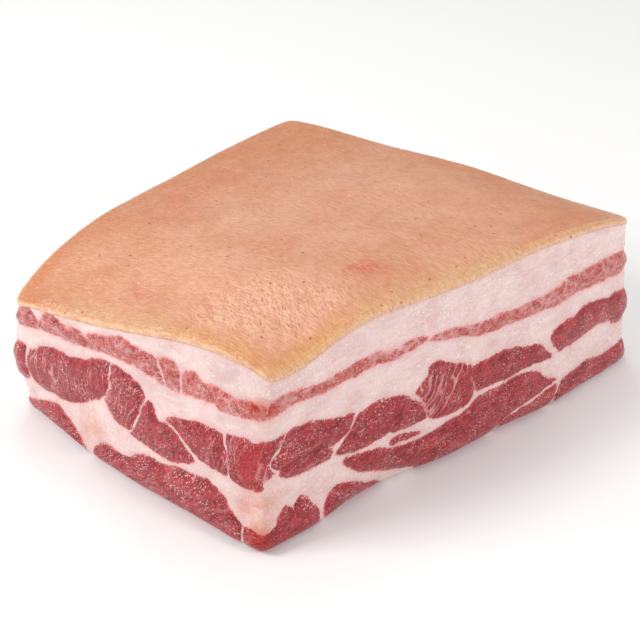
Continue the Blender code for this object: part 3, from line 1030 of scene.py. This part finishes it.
def flesh_material():
    g = Graph("fat_and_lean")
    place = g.scaled(g.object_place, (1000, 1000, 1000))
    grain = g.stored("grain", "Vector")
    lean, seam = g.stored("lean"), g.stored("seam")
    tone, under = g.stored("tone"), g.stored("under")
    stain, warm = g.stored("stain"), g.stored("warm")

    # edges of the lean meat, frayed at two sizes
    coarse = g.centred(g.noise(place, 0.9, 3, 0.6))
    fine = g.centred(g.noise(place, 2.6, 2, 0.6))
    fray = g.math("MULTIPLY_ADD", coarse, 1.1, g.times(fine, 1.3))
    depth = g.math("ADD", lean, fray)
    seam_width = g.ramp(g.noise(place, 0.2, 2), 0.38, 0.62, -0.06, 0.36)
    off_seam = g.math("SUBTRACT", g.math("ABSOLUTE", seam), seam_width)
    off_seam = g.math("MULTIPLY_ADD", fine, 0.6, off_seam)
    body = g.ramp(depth, -0.4, 0.25)
    meat = g.times(body, g.ramp(off_seam, -0.1, 0.26))

    # the pale streak is broken up by a net of fat
    net_place = g.add("ShaderNodeVectorMath", operation="ADD")
    g.set(net_place.inputs[0], g.scaled(place, (0.22, 0.22, 0.3)))
    wobble = g.add("ShaderNodeTexNoise", {"Vector": place, "Scale": 0.5, "Detail": 2.0})
    g.set(net_place.inputs[1], g.scaled(wobble.outputs["Color"], (0.9, 0.9, 0.9)))
    net = g.cells(net_place.outputs[0], 1.0, "DISTANCE_TO_EDGE")
    net = g.math("MULTIPLY_ADD", fine, 0.25, net)
    net = g.times(g.ramp(net, 0.22, 0.0), g.ramp(tone, 0.55, 0.35),
                  g.ramp(g.noise(place, 0.3, 2), 0.36, 0.6, 0.1, 1.0))

    # marbling: small bright flecks, partly fat and partly painted glints, and soft pale threads
    # along the grain
    fleck_and_glint_noise = g.noise(g.scaled(grain, (0.8, 1.3, 1.0)), 1.9, 2, 0.6, 0.3)
    fleck_and_glint_area = g.ramp(g.noise(place, 0.14, 2), 0.35, 0.65, -0.05, 0.03)
    flecks_and_glints = g.ramp(g.math("ADD", fleck_and_glint_noise, fleck_and_glint_area), 0.6, 0.67)
    drawn_out = g.noise(g.scaled(grain, (0.06, 0.42, 1.0)), 1.0, 1, 0.5, 0.2)
    threads = g.ramp(g.math("ABSOLUTE", g.centred(drawn_out)), 0.05, 0.0)
    threads = g.times(threads, g.ramp(tone, 0.86, 0.95, 0.2, 0.9),
                      g.ramp(g.noise(place, 0.16, 1), 0.42, 0.58))
    marbling_and_glints = g.math("MAXIMUM", g.times(flecks_and_glints, 0.9), g.times(net, 0.5))

    # lean meat: deep red in the thick muscles, paler in the upper streak
    mottle = g.noise(g.scaled(grain, (0.6, 1.0, 1.0)), 0.5, 5, 0.7, 0.3)
    speckle = g.noise(g.scaled(grain, (0.8, 1.2, 1.0)), 1.7, 2, 0.6)
    deep = g.mix(g.ramp(mottle, 0.38, 0.62), (140, 14, 26), (194, 52, 62))
    deep = g.mix(g.ramp(speckle, 0.46, 0.68, 0.0, 0.5), deep, (206, 92, 96))
    uneven = g.math("ADD", mottle, g.times(coarse, 0.5))
    pale = g.mix(g.ramp(uneven, 0.4, 0.6), (188, 48, 46), (220, 112, 102))
    pale = g.mix(g.ramp(speckle, 0.46, 0.66, 0.0, 0.7), pale, (238, 160, 150))
    red = g.mix(g.ramp(tone, 0.1, 0.75), pale, deep)
    red = g.mix(threads, red, (240, 166, 166))
    # pale marbling, whose bright flecks are in part painted glints of the wet meat
    red = g.mix(marbling_and_glints, red, (250, 204, 202))
    bright = g.mix(g.ramp(speckle, 0.4, 0.7), (180, 8, 20), (208, 54, 52))
    red = g.mix(g.ramp(stain, 0.2, 1.0, 0, 0.85), red, bright)

    # fat: nearly white, pinker in soft clouds and beside the lean meat, with painted glints and a
    # painted shadow under the skin
    cloud = g.noise(place, 0.11, 3, 0.55)
    fat = g.mix(g.ramp(cloud, 0.35, 0.68), (228, 201, 197), (217, 183, 181))
    streak = g.noise(g.scaled(place, (0.3, 0.3, 1.0)), 0.9, 3, 0.6)
    fat = g.mix(g.ramp(streak, 0.42, 0.75, 0, 0.5), fat, (242, 220, 212))
    # painted glints: small near-white specks standing in for highlights on the moist fat
    fat_painted_glints = g.times(g.ramp(g.noise(place, 1.9, 2, 0.6), 0.58, 0.68),
                      g.ramp(g.noise(place, 0.09, 2), 0.4, 0.6, 0.1, 0.8))
    fat = g.mix(fat_painted_glints, fat, (255, 246, 242))
    fat = g.mix(g.ramp(g.noise(place, 0.3, 3, 0.6), 0.54, 0.72, 0, 0.4), fat, (224, 168, 162))
    fat = g.mix(g.ramp(lean, -2.2, 0.0, 0, 0.4), fat, (224, 168, 164))
    # painted shadow: darker, warmer fat just under the skin's overhanging edge
    fat = g.mix(g.ramp(under, 1.1, 0.0, 0, 0.5), fat, (222, 172, 150))
    fat = g.mix(g.ramp(stain, 0.1, 1.0, 0, 0.6), fat, (214, 110, 96))

    colour = g.mix(meat, fat, red)
    warmth = g.times(warm, g.ramp(cloud, 0.3, 0.6, 0.5, 1.0))
    colour = g.mix(g.ramp(warmth, 0, 1, 0, 0.8), colour, (238, 168, 128), "MULTIPLY")

    # wet surface: broad relief, grooves at the seams, and fine fibres along the grain
    wet = g.ramp(g.noise(place, 1.5, 3, 0.65), 0.35, 0.7, 0.16, 0.5)
    rise = g.centred(g.noise(place, 0.95, 4, 0.65))
    surface = g.times(rise, g.ramp(meat, 0, 1, 0.4, 1.0))
    groove = g.times(g.ramp(off_seam, -0.2, 0.6, -0.15, 0.0), body)
    normal = g.bump(g.math("ADD", surface, groove), 0.0008, 0.75)
    fibres = g.centred(g.noise(g.scaled(grain, (1.0, 1.6, 1.0)), 1.9, 2, 0.6))
    steady = g.times(g.ramp(lean, 0.1, 0.9), g.ramp(g.stored("calm"), 0.0, 1.0, 1, 0))
    normal = g.bump(g.times(fibres, g.times(meat, steady)), 0.0007, 1.0, normal)
    set_wet(g.shader, subsurface=0.12, scale=0.001, coat=0.25, coat_roughness=0.16)
    return g.finish(colour, wet, normal)


def set_wet(shader, subsurface, scale, coat, coat_roughness):
    for name, value in (
        ("Subsurface Weight", subsurface), ("Subsurface Radius", (1.0, 0.45, 0.32)),
        ("Subsurface Scale", scale), ("IOR", 1.42),
        ("Coat Weight", coat), ("Coat Roughness", coat_roughness),
    ):
        shader.inputs[name].default_value = value


def rind_material():
    g = Graph("skin")
    place = g.scaled(g.object_place, (1000, 1000, 1000))
    edge, below = g.stored("edge"), g.stored("below")
    blush, corner = g.stored("blush"), g.stored("corner")
    golden, far, rim_glint_zone = g.stored("golden"), g.stored("far"), g.stored("rim_glint_zone")

    # broad colour: pinker and paler at the front, orange brown towards the back
    cloud = g.noise(place, 0.035, 4, 0.55, 0.3)
    patch = g.noise(place, 0.13, 4, 0.6)
    colour = g.mix(g.ramp(cloud, 0.36, 0.64), (218, 155, 119), (226, 168, 137))
    colour = g.mix(g.ramp(far, 0.1, 1.0, 0, 0.9), colour, (204, 128, 78))
    colour = g.mix(g.ramp(corner, 0.1, 0.7, 0, 0.6), colour, (231, 174, 146))
    colour = g.mix(g.ramp(patch, 0.42, 0.7, 0, 0.25), colour, (234, 184, 156))
    colour = g.mix(g.ramp(patch, 0.5, 0.3, 0, 0.2), colour, (204, 130, 92))

    # golden fat that shows through the thin rim
    rim_noise = g.centred(g.noise(place, 0.12, 3, 0.6))
    rim_edge = g.math("MULTIPLY_ADD", rim_noise, 9.0, edge)
    rim = g.times(g.ramp(rim_edge, 8.0, 0.5, 0, 0.8), g.ramp(golden, 0, 1, 0.3, 1))
    rim_colour = g.mix(g.ramp(corner, 0.15, 0.6), (224, 176, 130), (221, 158, 92))
    rim_colour = g.mix(g.ramp(far, 0.02, 0.35), rim_colour, (214, 134, 84))
    colour = g.mix(rim, colour, rim_colour)
    # a pale line along the skin's edge: partly its own pale rim, partly a painted highlight
    pale_rim_and_highlight = g.times(g.ramp(edge, 1.1, 0.2), g.ramp(rim_glint_zone, 0.5, 0.0, 0, 0.45))
    colour = g.mix(pale_rim_and_highlight, colour, (240, 200, 150))
    colour = g.mix(g.ramp(below, 0.4, 1.0), colour, (232, 190, 152))
    colour = g.mix(g.ramp(below, 1.2, 2.2, 0, 0.9), colour, (232, 190, 172))

    # blotches and broken veins
    mottled = g.ramp(g.noise(place, 0.5, 4, 0.65), 0.38, 0.62)
    red_amount = g.times(blush, g.ramp(mottled, 0, 1, 0.4, 1.0))
    colour = g.mix(g.ramp(red_amount, 0, 0.9, 0, 1.0, False), colour, (212, 98, 78))

    # hair stubble: short strokes that lie one way, dense near the front left corner, with painted
    # highlights between them
    steep, slanted = hair_places(g, place, -106), hair_places(g, place, -72)
    hairs = g.ramp(g.cells(steep, 1.9), 0.42, 0.16)
    sparse = g.ramp(g.cells(slanted, 1.0), 0.36, 0.12)
    streaks = g.noise(slanted, 1.7, 3, 0.65)
    highlight_streaks = g.noise(steep, 0.7, 2, 0.55)
    dense = g.times(g.ramp(corner, 0.14, 0.5), g.ramp(edge, 2.0, 9.0, 0.1, 1.0),
                    g.ramp(corner, 0.95, 0.8, 0.2, 1.0))
    colour = g.mix(g.ramp(streaks, 0.4, 0.62, 0.0, 0.42), colour, (198, 124, 88))
    colour = g.mix(g.ramp(streaks, 0.46, 0.3, 0.0, 0.4), colour, (242, 196, 166))
    # painted highlights: pale streaks between the stubble strokes
    light = g.times(g.ramp(highlight_streaks, 0.42, 0.62, 0.15, 0.85), dense)
    colour = g.mix(light, colour, (240, 189, 158))
    shade = g.times(g.ramp(streaks, 0.46, 0.6, 0.0, 0.4), dense)
    colour = g.mix(shade, colour, (204, 128, 92))
    picked = g.ramp(g.noise(place, 0.9, 1), 0.4, 0.6, 0.35, 1.0)
    strokes = g.math("MAXIMUM", g.times(hairs, picked, dense, 0.85), g.times(sparse, picked, 0.4))
    colour = g.mix(strokes, colour, (180, 78, 46))

    # painted glints: near-white specks along the wet left rim
    rim_painted_glints = g.times(g.ramp(g.noise(place, 1.5, 2, 0.6), 0.53, 0.66), rim_glint_zone,
                    g.ramp(g.noise(place, 0.16, 2), 0.42, 0.6), g.ramp(edge, 3.6, 1.0),
                    g.ramp(below, 1.2, 0.4), 0.6)
    colour = g.mix(rim_painted_glints, colour, (255, 238, 216))

    # a few dark hair roots
    seat = g.add("ShaderNodeTexVoronoi", {"Vector": place, "Scale": 0.3, "Randomness": 1.0})
    dot = g.ramp(seat.outputs["Distance"], 0.16, 0.08)
    chosen = g.add("ShaderNodeSeparateColor", {"Color": seat.outputs["Color"]}).outputs[0]
    dot = g.times(dot, g.ramp(chosen, 0.4, 0.75), 0.8)
    colour = g.mix(dot, colour, (176, 52, 30))

    rough = g.ramp(g.noise(place, 0.5, 3, 0.6), 0.3, 0.7, 0.36, 0.56)
    rough = g.math("SUBTRACT", rough, g.times(g.ramp(edge, 5, 0.5, 0, 1), 0.2))
    height = g.math("MULTIPLY_ADD", streaks, 0.6, g.noise(place, 1.1, 4, 0.65))
    set_wet(g.shader, subsurface=0.15, scale=0.0014, coat=0.12, coat_roughness=0.3)
    return g.finish(colour, rough, g.bump(height, 0.0006, 0.65))


def hair_places(g, place, turn):
    """Places in mm stretched so that a pattern on them makes strokes along one direction."""
    turned = g.add("ShaderNodeVectorRotate", {"Vector": place, "Angle": math.radians(-turn)},
                   rotation_type="Z_AXIS").outputs["Vector"]
    return g.scaled(turned, (0.2, 1.35, 0.5))


# ----- Stage -----


def add_camera():
    camera = bpy.data.objects.new("camera", bpy.data.cameras.new("camera"))
    camera.location = (-0.2027, -0.2832, 0.2403)
    camera.rotation_euler = (math.radians(57), 0, math.radians(-36.8))
    camera.data.lens = 67.5
    camera.data.sensor_width = 36
    camera.data.clip_start = 0.01
    bpy.context.scene.collection.objects.link(camera)
    bpy.context.scene.camera = camera


def add_light(name, place, size, watts, colour):
    lamp = bpy.data.lights.new(name, "AREA")
    lamp.size = size
    lamp.energy = watts
    lamp.color = colour
    light = bpy.data.objects.new(name, lamp)
    light.location = place
    light.rotation_euler = (-Vector(place)).to_track_quat("-Z", "Y").to_euler()
    bpy.context.scene.collection.objects.link(light)


def add_stage():
    world = bpy.data.worlds.new("studio")
    world.use_nodes = True
    background = world.node_tree.nodes["Background"]
    background.inputs["Color"].default_value = (1, 1, 1, 1)
    background.inputs["Strength"].default_value = 0.6
    bpy.context.scene.world = world
    add_light("key", (-0.7, 0.25, 0.6), 0.3, 4.0, (1.0, 0.985, 0.965))
    add_light("fill", (0.3, -0.8, 0.45), 0.25, 2.7, (1.0, 0.975, 0.96))
    add_light("glint", (-0.8, 0.5, 0.4), 0.12, 1.6, (1.0, 1.0, 1.0))
    add_light("sheen", (0.22, 0.4, 0.85), 0.3, 1.1, (1.0, 1.0, 1.0))
    bpy.ops.mesh.primitive_plane_add(size=6, location=(0, 0, -0.0003))
    floor = bpy.context.object
    floor.name = "floor"
    g = Graph("floor")
    shade = g.noise(g.object_place, 3.0, 2)
    pale, paler = [0.93, 0.93, 0.93, 1], [0.95, 0.95, 0.95, 1]
    g.set(g.shader.inputs["Base Color"], g.mix(shade, pale, paler))
    g.shader.inputs["Roughness"].default_value = 0.9
    g.shader.inputs["Specular IOR Level"].default_value = 0.1
    floor.data.materials.append(g.material)
    bpy.context.scene.view_settings.view_transform = "Standard"


def main():
    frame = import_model()
    slab = Slab(frame)
    flesh = make_flesh(slab)
    flesh.data.materials.append(flesh_material())
    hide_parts(*[name for name in sorted(frame["nodes"]) if name != "fat_cap"])
    rind = make_rind(slab)
    rind.data.materials.append(rind_material())
    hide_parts("fat_cap")
    add_stage()
    add_camera()


main()
